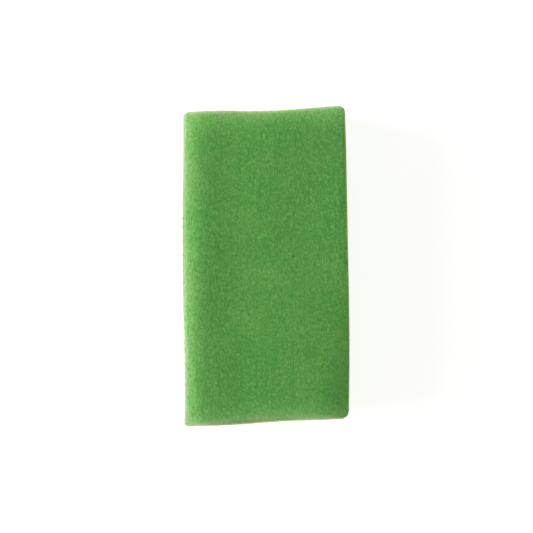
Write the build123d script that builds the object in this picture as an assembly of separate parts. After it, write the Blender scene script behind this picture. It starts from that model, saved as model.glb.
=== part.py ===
from build123d import *
import os

# A brick of floral foam: one block sawn from a bun of rigid, fine-celled phenolic foam.
# It has no tray, film, net, seam or fastener, so the whole object is one solid.
# Millimetres. The brick lies on its largest face: X across, Y along, Z up.
# The origin is on that face, at the middle of the brick's bounding box.

# Driving dimensions
brick_length = 230.0         # mean of its two long sides
brick_width = 120.0          # mean of its two ends
brick_height = 80.0          # from the face it lies on to the face that takes the stems

# The saw leaves the brick a little out of true, seen from above.
width_taper = 2.3            # how much narrower the far end (+Y) is than the near end (-Y)
far_end_skew = 3.2           # how much further +Y the far end stands at +X than at -X
near_end_skew = 4.6          # the same on the near end
left_side_bow = 0.6          # how far the middle of the -X side bulges
right_side_bow = 1.2         # how far the middle of the +X side bulges
far_end_hollow = 0.8         # how far the middle of the far end is drawn in

# Handling rubs the corners and edges round, the -X corners least.
near_left_corner_radius = 3.5    # upright corner at -X, -Y
near_right_corner_radius = 7.0   # upright corner at +X, -Y
far_right_corner_radius = 5.0    # upright corner at +X, +Y
far_left_corner_radius = 4.0     # upright corner at -X, +Y
face_edge_radius = 2.5           # all round the top face and the face it lies on


def sharp_corners():
    """The corners seen from above, before they are rounded: near left, near right, far right, far left."""
    near_half_width = (brick_width + width_taper / 2) / 2
    far_half_width = (brick_width - width_taper / 2) / 2
    return [
        Vector(-near_half_width, -(brick_length + near_end_skew) / 2),
        Vector(near_half_width, -(brick_length - near_end_skew) / 2),
        Vector(far_half_width, (brick_length + far_end_skew) / 2),
        Vector(-far_half_width, (brick_length - far_end_skew) / 2),
    ]


def bowed_edge(start, end, bulge):
    """An arc from start to end whose middle stands out by bulge, to the right of the way it runs."""
    along = (end - start).normalized()
    outward = Vector(along.Y, -along.X)
    return ThreePointArc(start, (start + end) / 2 + outward * bulge, end)


def outline():
    """The brick seen from above, with its four upright corners rounded."""
    near_left, near_right, far_right, far_left = sharp_corners()
    face = make_face(
        [
            Line(near_left, near_right),
            bowed_edge(near_right, far_right, right_side_bow),
            bowed_edge(far_right, far_left, -far_end_hollow),
            bowed_edge(far_left, near_left, left_side_bow),
        ]
    )
    rounded_corners = [
        (near_left, near_left_corner_radius),
        (near_right, near_right_corner_radius),
        (far_right, far_right_corner_radius),
        (far_left, far_left_corner_radius),
    ]
    for corner, radius in rounded_corners:
        nearest = face.vertices().sort_by_distance(corner)[0]
        face = fillet(nearest, radius)
    return face


def foam_block():
    """The whole brick, with softened edges round its two large faces."""
    block = extrude(outline(), brick_height)
    large_faces = block.faces().filter_by(Axis.Z)
    block = fillet(large_faces.edges(), face_edge_radius)
    middle = block.bounding_box().center()
    return Pos(-middle.X, -middle.Y, 0) * block


os.makedirs("parts", exist_ok=True)
export_step(foam_block(), "parts/foam_block.step")
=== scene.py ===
import math
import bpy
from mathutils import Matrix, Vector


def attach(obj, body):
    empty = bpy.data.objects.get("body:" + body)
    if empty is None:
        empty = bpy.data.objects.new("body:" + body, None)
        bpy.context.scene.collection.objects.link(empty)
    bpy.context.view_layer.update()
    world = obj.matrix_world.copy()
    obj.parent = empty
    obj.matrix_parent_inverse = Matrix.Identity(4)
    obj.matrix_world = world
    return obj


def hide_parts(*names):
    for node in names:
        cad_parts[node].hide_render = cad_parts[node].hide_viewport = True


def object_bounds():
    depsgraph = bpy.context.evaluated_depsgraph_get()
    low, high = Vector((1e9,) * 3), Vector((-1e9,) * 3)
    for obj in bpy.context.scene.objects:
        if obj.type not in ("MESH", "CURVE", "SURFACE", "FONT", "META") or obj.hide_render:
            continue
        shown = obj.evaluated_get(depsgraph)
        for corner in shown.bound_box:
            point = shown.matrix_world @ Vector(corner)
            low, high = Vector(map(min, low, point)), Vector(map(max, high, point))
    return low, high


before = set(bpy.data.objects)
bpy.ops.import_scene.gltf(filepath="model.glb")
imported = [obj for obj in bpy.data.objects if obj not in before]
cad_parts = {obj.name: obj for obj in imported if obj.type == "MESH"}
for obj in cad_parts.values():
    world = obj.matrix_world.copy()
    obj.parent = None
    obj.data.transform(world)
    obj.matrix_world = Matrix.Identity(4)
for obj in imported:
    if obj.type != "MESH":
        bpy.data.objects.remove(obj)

from types import SimpleNamespace

import bpy
import numpy as np
from mathutils import Vector, noise
from mathutils.bvhtree import BVHTree

mm = 0.001
cadLow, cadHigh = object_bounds()
middle = (cadLow + cadHigh) / 2
print("frame loaded, CAD box in mm:", [round(v / mm, 1) for v in cadHigh - cadLow])


def linearColour(hexCode):
    # sRGB hex to the linear numbers that shaders use
    parts = [int(hexCode[i:i + 2], 16) / 255 for i in (1, 3, 5)]
    return [c / 12.92 if c <= 0.04045 else ((c + 0.055) / 1.055) ** 2.4 for c in parts] + [1.0]


def addNode(tree, kind, settings={}, inputs={}):
    # one node: its settings, then each input as a value or as the socket that feeds it
    node = tree.nodes.new(kind)
    for name, value in settings.items():
        setattr(node, name, value)
    for key, value in inputs.items():
        if isinstance(value, bpy.types.NodeSocket):
            tree.links.new(value, node.inputs[key])
        else:
            node.inputs[key].default_value = value
    return node


def smoothStep(values, start, end):
    t = np.clip((values - start) / (end - start), 0, 1)
    return t * t * (3 - 2 * t)


seedStep = 17.31     # each seed's noise is taken this much further on, so that no two look related


def noiseAt(points, spacing, seed):
    # smooth noise from about -1 to 1, spacing in mm
    return np.array([noise.noise(p) for p in points / spacing + seed * seedStep])


phenolicFoam = {
    "green": "#498f37",          # walls of the cells, seen square on
    "deepGreen": "#357d23",      # down inside the open cells, and painted shade on the sides and at the near right corner
    "paleGreen": "#6cb05c",      # dusty tips of broken cell walls
    "olive": "#75984a",          # where the dye took less
    "chalky": "#75a55e",         # where powder from the saw stayed in the cells
    "highlightGreen": "#95a976",          # pale colour of the painted highlight along the rims
    "highlightRimGreen": "#8c9775",          # paler still: painted highlight on the outermost line of the rims
    "faded": "#8a8a48",          # brownish painted shade in a line along the edges
    "cellMm": 1.35,              # real cells are 0.3 mm across, drawn coarser so that they show
    "grainMm": 1.0,              # powdery grain of the sawn face, also drawn coarser than the real 0.2 mm
    "powderMm": 2.0,             # powder in some cells and not in others, about as coarse as they are drawn
    "poreMm": 4.2,               # spacing of the odd bubbles that grew larger, 1 to 2 mm across
    "patchMm": 9,                # patches that took less dye, about a thumbnail across
    "cloudMm": 34,               # and wider, fainter ones
    "stretch": 0.55,             # cells are about twice as long the way the foam rose, along the brick
    "sawLineMm": 1.6,            # spacing of the faint lines that the saw drew along the brick
    "sawLineStretch": 0.03,      # how much slower their noise changes along the brick, which draws it out
    "cellSoftness": 0.35,        # how softly one cell runs into the next
    "noiseRoughness": 0.6,       # how much finer noise each of the other patterns has in it
    # tints laid one over another: colour, pattern, where it starts, where it is full, how strong
    "tints": [
        ("olive", "clouds", 0.42, 0.62, 0.18),
        ("chalky", "clouds", 0.46, 0.66, 0.12),
        ("olive", "patches", 0.42, 0.72, 0.21),
        ("chalky", "powder", 0.50, 0.75, 0.46),
        # painted highlight: a pale band along the rims
        ("highlightGreen", "paintedHighlight", 0.00, 1.00, 0.60),
        # painted shade: the upright sides a deeper green
        ("deepGreen", "paintedSideShade", 0.00, 1.00, 0.85),
        ("paleGreen", "grain", 0.42, 0.75, 0.95),
        # more painted shade on the sides, laid over the grain
        ("deepGreen", "paintedSideShade", 0.00, 1.00, 0.35),
        # painted shade at the near right corner
        ("deepGreen", "paintedCornerShade", 0.00, 1.00, 0.38),
        ("deepGreen", "sawLines", 0.48, 0.75, 0.30),
        ("deepGreen", "cells", 0.60, 0.10, 0.54),
        ("deepGreen", "pores", 0.26, 0.12, 0.45),
        # painted highlight, paler still, on the outermost line of the rims
        ("highlightRimGreen", "paintedHighlight", 0.80, 1.80, 0.80),
        # painted shade: a brownish line along the rims
        ("faded", "paintedShadeLine", 0.00, 1.00, 0.60),
        ("deepGreen", "broken", 0.00, 1.00, 0.40),
    ],
    "reliefMm": 0.18,            # depth of the grain
    "reliefStrength": 0.7,
    "dryness": (0.86, 0.98),     # roughness on the tips, and where the tint of the open cells would be full
    # dry resin: hardly any shine, a bloom of powder, and light that goes a little way into the foam
    "surface": {"IOR": 1.5, "Metallic": 0.0, "Specular IOR Level": 0.25,
                "Sheen Weight": 0.12, "Sheen Roughness": 0.6, "Subsurface Weight": 1.0,
                "Subsurface Scale": 2.5 * mm, "Subsurface Radius": (0.6, 1.0, 0.45)},
    "bloom": "#dff2cf",          # colour of that powder
}


def makeSawnPhenolicFoam():
    # rigid phenolic foam, sawn: thousands of opened cells give a dry, even, finely speckled green with no
    # shine; a pale painted highlight lies along the lit rims, and painted shade on the sides, at the near
    # right corner and in a brownish line along the rims
    look = phenolicFoam
    material = bpy.data.materials.new("sawnPhenolicFoam")
    material.use_nodes = True
    tree = material.node_tree
    tree.nodes.clear()
    place = addNode(tree, "ShaderNodeTexCoord").outputs["Object"]
    along = addNode(tree, "ShaderNodeMapping", {},
                    {"Vector": place, "Scale": (1, look["stretch"], 1)}).outputs["Vector"]
    sawWay = addNode(tree, "ShaderNodeMapping", {},
                     {"Vector": place, "Scale": (1, look["sawLineStretch"], 1)}).outputs["Vector"]
    cells = addNode(tree, "ShaderNodeTexVoronoi", {"feature": "SMOOTH_F1"},
                    {"Vector": along, "Scale": 1 / (look["cellMm"] * mm),
                     "Smoothness": look["cellSoftness"]})
    pores = addNode(tree, "ShaderNodeTexVoronoi", {"feature": "F1"},
                    {"Vector": along, "Scale": 1 / (look["poreMm"] * mm)})
    pattern = {"cells": cells.outputs["Distance"], "pores": pores.outputs["Distance"]}
    for name in ("paintedHighlight", "paintedShadeLine", "paintedSideShade", "paintedCornerShade", "broken"):      # worked out in tintMaps
        pattern[name] = addNode(tree, "ShaderNodeAttribute", {"attribute_name": name}).outputs["Fac"]
    for name, way, size, detail in (("grain", along, "grainMm", 2), ("powder", along, "powderMm", 1),
                                    ("patches", place, "patchMm", 2), ("clouds", place, "cloudMm", 1),
                                    ("sawLines", sawWay, "sawLineMm", 1)):
        pattern[name] = addNode(tree, "ShaderNodeTexNoise", {},
                                {"Vector": way, "Scale": 1 / (look[size] * mm), "Detail": detail,
                                 "Roughness": look["noiseRoughness"]}).outputs["Fac"]

    colour = linearColour(look["green"])
    for tint, name, start, full, strength in look["tints"]:
        amount = addNode(tree, "ShaderNodeMapRange", {},
                         {"Value": pattern[name], "From Min": start, "From Max": full, "To Min": 0.0,
                          "To Max": strength}).outputs["Result"]
        # a Mix node has its two colours at inputs 6 and 7, and the mixed one at output 2
        colour = addNode(tree, "ShaderNodeMix", {"data_type": "RGBA"},
                         {0: amount, 6: colour, 7: linearColour(look[tint])}).outputs[2]
        pattern[name + "Seen"] = amount

    # the same grain, cells and pores as relief, with the saw's lines
    height = pattern["grain"]
    for operation, other in (("SUBTRACT", pattern["cellsSeen"]), ("SUBTRACT", pattern["poresSeen"]),
                             ("ADD", pattern["sawLines"])):
        height = addNode(tree, "ShaderNodeMath", {"operation": operation}, {0: height, 1: other}).outputs[0]
    relief = addNode(tree, "ShaderNodeBump", {},
                     {"Height": height, "Distance": look["reliefMm"] * mm,
                      "Strength": look["reliefStrength"]}).outputs["Normal"]
    tips, hollows = look["dryness"]
    roughness = addNode(tree, "ShaderNodeMapRange", {},
                        {"Value": pattern["cellsSeen"], "To Min": tips,
                         "To Max": hollows}).outputs["Result"]
    shader = addNode(tree, "ShaderNodeBsdfPrincipled", {},
                     {"Base Color": colour, "Roughness": roughness, "Normal": relief,
                      "Sheen Tint": linearColour(look["bloom"]), **look["surface"]})
    addNode(tree, "ShaderNodeOutputMaterial", {}, {"Surface": shader.outputs["BSDF"]})
    print("sawn phenolic foam:", len(tree.nodes), "nodes")
    return material


foamBlock = {
    "name": "floral_foam_block",
    "node": "foam_block",
    "pitchMm": 1.12,             # mesh spacing, fine enough for the relief of the sawn faces
    # where each noise is taken, and the seed of the draw that places the crumbs
    "seeds": {"crook": 1, "swell": 2, "dent": 3, "grain": 4, "chip": 5, "fineBand": 7, "coarseBand": 8,
              "ragged": 9, "crumbs": 7},
    "sideFacing": 0.9,           # a CAD face is part of a side where it looks this squarely that way
    "levelFrom": 0.9,            # flatness from which a spot is on a large face: 0 is upright and 1 level
    "steepBelow": 0.3,           # and below which it is on a side
    # how each side's upper rim rolls over: how far it reaches across the face, how deep it goes, and how
    # much fuller than a plain falloff
    "rims": {"left": (7.0, 6.3, 1.15), "right": (3.0, 0.8, 1.0), "near": (9.0, 4.1, 1.3),
             "far": (8.5, 5.2, 1.3)},
    "rimHeightMm": 24,           # the roll fades out this far down the side
    "lowerRim": 0.3,             # share of that roll on the rims that it lies on
    # long waves that the saw left in each upright side: depth, length, shift along it
    "wander": {"left": [(0.35, 170, 0.138)], "right": [(0.15, 160, 0.625)],
               "near": [(0.36, 85, 0.579), (0.28, 250, 0.83)], "far": [(0.55, 88, 0.682)]},
    # how far each side stands out of its true line: the long ones near and far, the ends left and right
    "proud": {"left": (0.05, 0.2), "right": (-0.1, -0.1), "near": (0.75, 0.1), "far": (0.65, 0.0)},
    "slideReachMm": 12,          # how far into the block the foam moves with them
    # upright corners that stand out past the sides' true lines: the two sides, how far, reach
    "corners": [("left", "near", 0.8, 6), ("right", "near", 0.5, 6), ("left", "far", 0.4, 5),
                ("right", "far", 0.5, 5)],
    # corners of the upper face that sag: depth, then how far that reaches from each of two sides
    "slumps": [(3.8, {"right": 12, "near": 55}), (0.5, {"left": 30, "near": 35}),
               (2.0, {"left": 8, "near": 110}), (1.4, {"left": 30, "far": 30})],
    "cornerShadeReach": {"right": 14, "near": 70},    # painted shade at the near right corner: deeper green this far from two sides
    # shallow waves across the large faces, which fan out towards the near end and fade to the right
    "waveSlope": (0.115, 0.035),     # steepest slope, on the left and on the right
    "waveFade": (-45, 5),        # where one turns into the other, across the brick
    "waveFarShare": 0.5,         # what is left of them at the far end
    "waveFarReach": (20, 100),   # where that fading starts and ends, along the brick
    "waveLower": 0.6,            # share of their depth by which the whole face is set lower
    "waveCrook": (0.12, 60),     # how crooked their crests are, in turns, and over what length
    "underShare": 0.3,           # share of the waves on the face that it lies on
    "crestMm": 0.3,              # most that a crest stands over the true face
    "waveLengthMm": 54,
    "waveFan": 0.5,              # growth of that length for each mm from the middle to the near end
    "waveTroughMm": -20.5,       # where one trough lies, across the brick
    "waveDrift": 0.1,            # how far it moves over for each mm to the near end
    # unevenness all over: depth and spacing in mm
    "swell": (0.25, 45),
    "dent": (0.05, 4.5),
    "grain": (0.06, 1.3),
    "chip": (0.5, 2.6),          # the same for chips along the edges
    "chipReachMm": 1.5,          # how far from the edge they fade
    "chipRange": (-0.05, 0.6),   # noise at which a chip starts and at which it is deepest
    # places where a crumb fell out: how many, smallest and largest radius in mm, depth as a share of that
    "crumbs": {"sides": (110, 1.1, 3.0, 0.36), "rims": (110, 0.9, 2.2, 0.36),
               "faces": (40, 0.9, 1.7, 0.30)},
    "crumbEdges": {"rims": 1.5, "sides": 4, "faces": 6},     # within this of an edge, or further in
    "crumbRagged": (0.45, 1.9),  # how ragged their outlines are, and spacing of that in mm
    "crumbFloor": 0.35,          # share of the radius that is as deep as the middle
    # painted highlight as a pale band along the rims and corners of each side, and painted shade as a
    # brownish line outside it: strength, width in mm
    "highlightBands": {"left": (1.9, 4.3), "right": (0.05, 3.0), "near": (2.3, 3.5), "far": (1.8, 3.4)},
    "shadeLines": {"left": (0.2, 1.0), "right": (1.1, 1.2), "near": (0.6, 1.0), "far": (0.5, 1.0)},
    "shadeLineDown": (2, 5),      # how far down the sides that line starts to fade, and where it ends
    "lowerBandShare": (0.35, 5, 20),   # share of both lower down, and how far down that starts and is reached
    "bandBlendMm": 6,             # how softly one side's band turns into the next at a corner
    "farNearness": 1e-6,         # each side's least share, so that the blend is defined far from all
    # unevenness of the bands: how strong and how wide, fine and coarse
    "bandPatches": {"fineBand": (0.4, 3), "coarseBand": (0.35, 11)},
    "sideShadeStart": (3, 12),        # painted shade, a deeper colour on the sides: how far down it starts and is full
}
sideWays = {"left": (-1, 0), "right": (1, 0), "near": (0, -1), "far": (0, 1)}


def remeshedCopy(source, name, pitch):
    # the CAD solid's shape as an even mesh of small squares
    block = bpy.data.objects.new(name, source.data.copy())
    bpy.context.scene.collection.objects.link(block)
    block.data.materials.clear()
    remesh = block.modifiers.new("even squares", "REMESH")
    remesh.mode = "VOXEL"
    remesh.voxel_size = pitch
    remesh.adaptivity = 0
    graph = bpy.context.evaluated_depsgraph_get()
    mesh = bpy.data.meshes.new_from_object(block.evaluated_get(graph), depsgraph=graph)
    block.modifiers.clear()
    block.data = mesh
    mesh.name = name
    return block


def distancesFrom(mesh, way, points):
    # how far each point is from one upright side, in mm
    faces = [list(f.vertices) for f in mesh.polygons
             if f.normal.x * way[0] + f.normal.y * way[1] > foamBlock["sideFacing"]]
    tree = BVHTree.FromPolygons([v.co for v in mesh.vertices], faces)
    return np.array([tree.find_nearest(p)[3] for p in points]) / mm


def readSpots(mesh):
    # each vertex of the block: its place, the way it looks, and how far it is from sides and edges in mm
    points = np.empty(len(mesh.vertices) * 3)
    mesh.vertices.foreach_get("co", points)
    normals = np.empty(len(mesh.vertices) * 3)
    mesh.vertices.foreach_get("normal", normals)
    spots = SimpleNamespace(points=points.reshape(-1, 3), normals=normals.reshape(-1, 3))
    spots.inMm = spots.points / mm
    spots.flatness = spots.normals[:, 2] ** 2        # 1 on the large faces, 0 on the sides
    halfHeight = (cadHigh.z - cadLow.z) / 2 / mm
    height = spots.inMm[:, 2] - middle.z / mm
    spots.upper = height > 0
    spots.fromTop = halfHeight - height
    spots.fromFace = halfHeight - np.abs(height)
    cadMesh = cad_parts[foamBlock["node"]].data
    spots.away = {side: distancesFrom(cadMesh, way, spots.points) for side, way in sideWays.items()}
    # every spot is on one face, so its second smallest distance is the way to the nearest edge
    spots.fromEdge = np.sort(np.stack([spots.fromFace, *spots.away.values()]), axis=0)[1]
    spots.push = np.zeros(len(mesh.vertices))        # how far out along its normal it goes, in mm
    spots.broken = np.zeros(len(mesh.vertices))      # 1 where a crumb fell out
    return spots


def moveSides(spots):
    # the rims roll over, corners sag, and the sides wander and stand out of true
    look = foamBlock
    roll = np.zeros(len(spots.points))
    slide = np.zeros((len(spots.points), 3))
    for side, way in sideWays.items():
        reach, depth, fullness = look["rims"][side]
        roll += depth * np.exp(-(spots.away[side] / reach) ** fullness)
        run = spots.inMm[:, 1] if way[0] else spots.inMm[:, 0]
        wave = sum(depth * np.sin(2 * math.pi * (run / length + shift))
                   for depth, length, shift in look["wander"][side])
        first, last = look["proud"][side]
        out = wave + first + (last - first) * smoothStep(run, -run.max(), run.max())
        slide[:, :2] += np.outer(out * np.exp(-spots.away[side] / look["slideReachMm"]), way)
    for first, second, depth, reach in look["corners"]:
        squares = (spots.away[first] / reach) ** 2 + (spots.away[second] / reach) ** 2
        for way in (sideWays[first], sideWays[second]):
            slide[:, :2] += np.outer(depth * np.exp(-squares), way)
    for depth, reaches in look["slumps"]:
        roll += depth * np.exp(-sum((spots.away[side] / reach) ** 2 for side, reach in reaches.items()))
    roll *= np.where(spots.upper, 1, look["lowerRim"])
    roll *= smoothStep(-spots.fromFace, -look["rimHeightMm"], 0)
    spots.points[:, 2] -= np.where(spots.upper, 1, -1) * roll * mm
    spots.points += slide * mm


def waveFaces(spots):
    # waves across the large faces, set lower so that most of each crest stays under the true face
    look = foamBlock
    across = spots.inMm[:, 0]
    along = spots.inMm[:, 1]
    nearBy = np.maximum(-along, 0)
    waveLength = look["waveLengthMm"] + look["waveFan"] * nearBy
    trough = look["waveTroughMm"] + look["waveDrift"] * nearBy
    crook, crookLength = look["waveCrook"]
    turns = (across - trough) / waveLength
    turns += crook * noiseAt(spots.inMm, crookLength, look["seeds"]["crook"])
    leftSlope, rightSlope = look["waveSlope"]
    slope = leftSlope + (rightSlope - leftSlope) * smoothStep(across, *look["waveFade"])
    share = 1 - (1 - look["waveFarShare"]) * smoothStep(along, *look["waveFarReach"])
    share *= np.where(spots.upper, 1, look["underShare"]) * spots.flatness * waveLength / (2 * math.pi)
    spots.push -= share * (slope * np.cos(2 * math.pi * turns) + look["waveLower"] * leftSlope)


def roughen(spots):
    # the sawn faces are uneven all over, and their edges are chipped
    look = foamBlock
    for name in ("swell", "dent", "grain"):
        depth, spacing = look[name]
        spots.push += depth * noiseAt(spots.inMm, spacing, look["seeds"][name])
    depth, spacing = look["chip"]
    chips = smoothStep(noiseAt(spots.inMm, spacing, look["seeds"]["chip"]), *look["chipRange"])
    spots.push -= depth * np.exp(-spots.fromEdge / look["chipReachMm"]) * chips


def breakCrumbs(spots):
    # single crumbs fell out here and there, small ones more often
    look = foamBlock
    raggedness, spacing = look["crumbRagged"]
    ragged = 1 + raggedness * noiseAt(spots.inMm, spacing, look["seeds"]["ragged"])
    chance = np.random.default_rng(look["seeds"]["crumbs"])
    edges = look["crumbEdges"]
    places = {"rims": spots.fromEdge < edges["rims"],
              "sides": (spots.flatness < look["steepBelow"]) & (spots.fromEdge > edges["sides"]),
              "faces": (spots.flatness > look["levelFrom"]) & (spots.fromEdge > edges["faces"])}
    for where, (number, smallest, largest, depth) in look["crumbs"].items():
        for centre in chance.choice(np.flatnonzero(places[where]), number, replace=False):
            radius = smallest + (largest - smallest) * chance.random() ** 2
            gap = np.linalg.norm(spots.inMm - spots.inMm[centre], axis=1) / radius * ragged
            hollow = 1 - smoothStep(gap, look["crumbFloor"], 1)
            spots.push -= hollow * radius * depth
            spots.broken = np.maximum(spots.broken, hollow)


def tintMaps(spots):
    # how strong the painted highlight along the rims, the painted shade line outside it and the other
    # tints, painted shade among them, are at each spot
    look = foamBlock
    kept = np.ones(len(spots.points))
    for name, (strength, spacing) in look["bandPatches"].items():
        kept += strength * noiseAt(spots.inMm, spacing, look["seeds"][name])
    share, start, end = look["lowerBandShare"]
    kept *= 1 - (1 - share) * smoothStep(spots.fromTop, start, end)
    nearness = {side: np.exp(-spots.away[side] / look["bandBlendMm"]) + look["farNearness"]
                for side in sideWays}
    kept /= sum(nearness.values())
    # painted highlight: a pale band along the rims, strongest on the lit left side and the ends, faint on
    # the shaded right
    paintedHighlight = kept * sum(strength * np.exp(-spots.fromEdge / reach) * nearness[side]
                        for side, (strength, reach) in look["highlightBands"].items())
    # painted shade: a brownish line along the rims, strongest on the shaded right side
    paintedShadeLine = kept * sum(strength * np.exp(-spots.away[side] / reach) * nearness[side]
                       for side, (strength, reach) in look["shadeLines"].items())
    paintedShadeLine *= 1 - smoothStep(spots.fromFace, *look["shadeLineDown"])
    # painted shade: the upright sides darker
    paintedSideShade = (1 - spots.flatness) * smoothStep(spots.fromFace, *look["sideShadeStart"])
    # painted shade at the near right corner
    paintedCornerShade = np.exp(-sum((spots.away[side] / reach) ** 2 for side, reach in look["cornerShadeReach"].items()))
    return {"paintedHighlight": paintedHighlight, "paintedShadeLine": paintedShadeLine, "paintedSideShade": paintedSideShade, "paintedCornerShade": paintedCornerShade, "broken": spots.broken}


def shapeFoam(mesh):
    spots = readSpots(mesh)
    moveSides(spots)
    waveFaces(spots)
    roughen(spots)
    breakCrumbs(spots)
    spots.points += spots.normals * spots.push[:, None] * mm
    # it rests flat on the table
    spots.points[:, 2] = np.clip(spots.points[:, 2], cadLow.z, cadHigh.z + foamBlock["crestMm"] * mm)
    mesh.vertices.foreach_set("co", spots.points.ravel())
    mesh.polygons.foreach_set("use_smooth", [True] * len(mesh.polygons))
    for name, values in tintMaps(spots).items():
        mesh.attributes.new(name, "FLOAT", "POINT").data.foreach_set("value", values)
    mesh.update()
    print("foam shaped:", len(mesh.vertices), "vertices")


def makeFoamBlock():
    look = foamBlock
    block = remeshedCopy(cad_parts[look["node"]], look["name"], look["pitchMm"] * mm)
    shapeFoam(block.data)
    block.data.materials.append(makeSawnPhenolicFoam())
    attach(block, "root")
    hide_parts(look["node"])
    print("foam block:", len(block.data.polygons), "faces")


makeFoamBlock()

studio = {
    "floorSize": 24.0,
    "floorWhite": "#f4f4f2",
    # a lit floor, so that the white stays clean round the block: its glow near by and far off
    "floorGlow": (0.90, 1.03),
    "glowReach": (0.25, 1.2),    # metres from the block where it starts to grow, and where it ends
    "floorDimming": 0.30,        # share of the floor's white that the lamps light
    "floorGapMm": 0.2,           # the floor lies this far under the block, so that the two don't flicker
    "floorSurface": {"Roughness": 0.9, "Specular IOR Level": 0.1},
    "wallStrength": 1.0,         # the white walls of the room, up to wallTop above the horizon
    "wallTop": (0.28, 0.55),     # sine of the height where they start to darken, and where they end
    "ceilingStrength": 0.20,
    # softboxes: place and size in metres, power in watts
    "lamps": {
        "windowLight": ((-3.8, 0.2, 1.16), (1.8, 4.8), 310),
        "farFill": ((0.1, 1.7, 0.24), (1.4, 0.3), 20),
        "nearFill": ((0.3, -1.7, 0.24), (1.4, 0.3), 18),
        "overhead": ((0.1, 0.0, 1.6), (1.6, 1.6), 4),
    },
}
cameraLook = {
    "height": 1.05,              # metres from the lens to the top of the block's upright sides
    "rimMm": 4,                  # which is this far below the upper face
    "viewMm": 390.8,             # width seen there
    "turn": -0.6,                # degrees
    "offCentre": (0.0006, -0.0001),  # metres
    "sensorMm": 36,
}


def makeFloor():
    # matt white lit floor
    white = linearColour(studio["floorWhite"])
    dimmed = [c * studio["floorDimming"] for c in white[:3]] + [1.0]
    material = bpy.data.materials.new("mattWhiteFloor")
    material.use_nodes = True
    tree = material.node_tree
    place = addNode(tree, "ShaderNodeTexCoord").outputs["Object"]
    away = addNode(tree, "ShaderNodeVectorMath", {"operation": "LENGTH"}, {0: place}).outputs["Value"]
    start, end = studio["glowReach"]
    near, far = studio["floorGlow"]
    glow = addNode(tree, "ShaderNodeMapRange", {"interpolation_type": "SMOOTHSTEP"},
                   {"Value": away, "From Min": start, "From Max": end, "To Min": near,
                    "To Max": far}).outputs["Result"]
    shader = tree.nodes["Principled BSDF"]
    for name, value in {"Base Color": dimmed, "Emission Color": white, **studio["floorSurface"]}.items():
        shader.inputs[name].default_value = value
    tree.links.new(glow, shader.inputs["Emission Strength"])
    half = studio["floorSize"] / 2
    z = cadLow.z - studio["floorGapMm"] * mm
    corners = [(-half, -half, z), (half, -half, z), (half, half, z), (-half, half, z)]
    mesh = bpy.data.meshes.new("floor")
    mesh.from_pydata(corners, [], [(0, 1, 2, 3)])
    mesh.materials.append(material)
    floor = bpy.data.objects.new("floor", mesh)
    bpy.context.scene.collection.objects.link(floor)


def lightStudio():
    # a white room, darker towards its ceiling, and four softboxes
    world = bpy.data.worlds.new("studio")
    world.use_nodes = True
    tree = world.node_tree
    wayOut = addNode(tree, "ShaderNodeTexCoord").outputs["Generated"]
    upward = addNode(tree, "ShaderNodeSeparateXYZ", {}, {"Vector": wayOut}).outputs["Z"]
    start, end = studio["wallTop"]
    strength = addNode(tree, "ShaderNodeMapRange", {"interpolation_type": "SMOOTHSTEP"},
                       {"Value": upward, "From Min": start, "From Max": end,
                        "To Min": studio["wallStrength"],
                        "To Max": studio["ceilingStrength"]}).outputs["Result"]
    sky = tree.nodes["Background"]
    sky.inputs["Color"].default_value = linearColour("#ffffff")
    tree.links.new(strength, sky.inputs["Strength"])
    bpy.context.scene.world = world
    for name, (place, size, power) in studio["lamps"].items():
        lamp = bpy.data.lights.new(name, "AREA")
        lamp.shape = "RECTANGLE"
        lamp.size, lamp.size_y = size
        lamp.energy = power
        softbox = bpy.data.objects.new(name, lamp)
        softbox.location = place
        softbox.rotation_euler = (middle - Vector(place)).to_track_quat("-Z", "Y").to_euler()
        bpy.context.scene.collection.objects.link(softbox)
    bpy.context.scene.view_settings.view_transform = "Standard"


def placeCamera():
    # straight above the block, looking down
    lens = bpy.data.cameras.new("camera")
    lens.sensor_width = cameraLook["sensorMm"]
    lens.lens = lens.sensor_width * cameraLook["height"] / (cameraLook["viewMm"] * mm)
    camera = bpy.data.objects.new("camera", lens)
    aside, back = cameraLook["offCentre"]
    rim = cadHigh.z - cameraLook["rimMm"] * mm
    camera.location = (middle.x + aside, middle.y + back, rim + cameraLook["height"])
    camera.rotation_euler = (0, 0, math.radians(cameraLook["turn"]))
    bpy.context.scene.collection.objects.link(camera)
    bpy.context.scene.camera = camera


makeFloor()
lightStudio()
placeCamera()
print("floor, light and camera are in place")
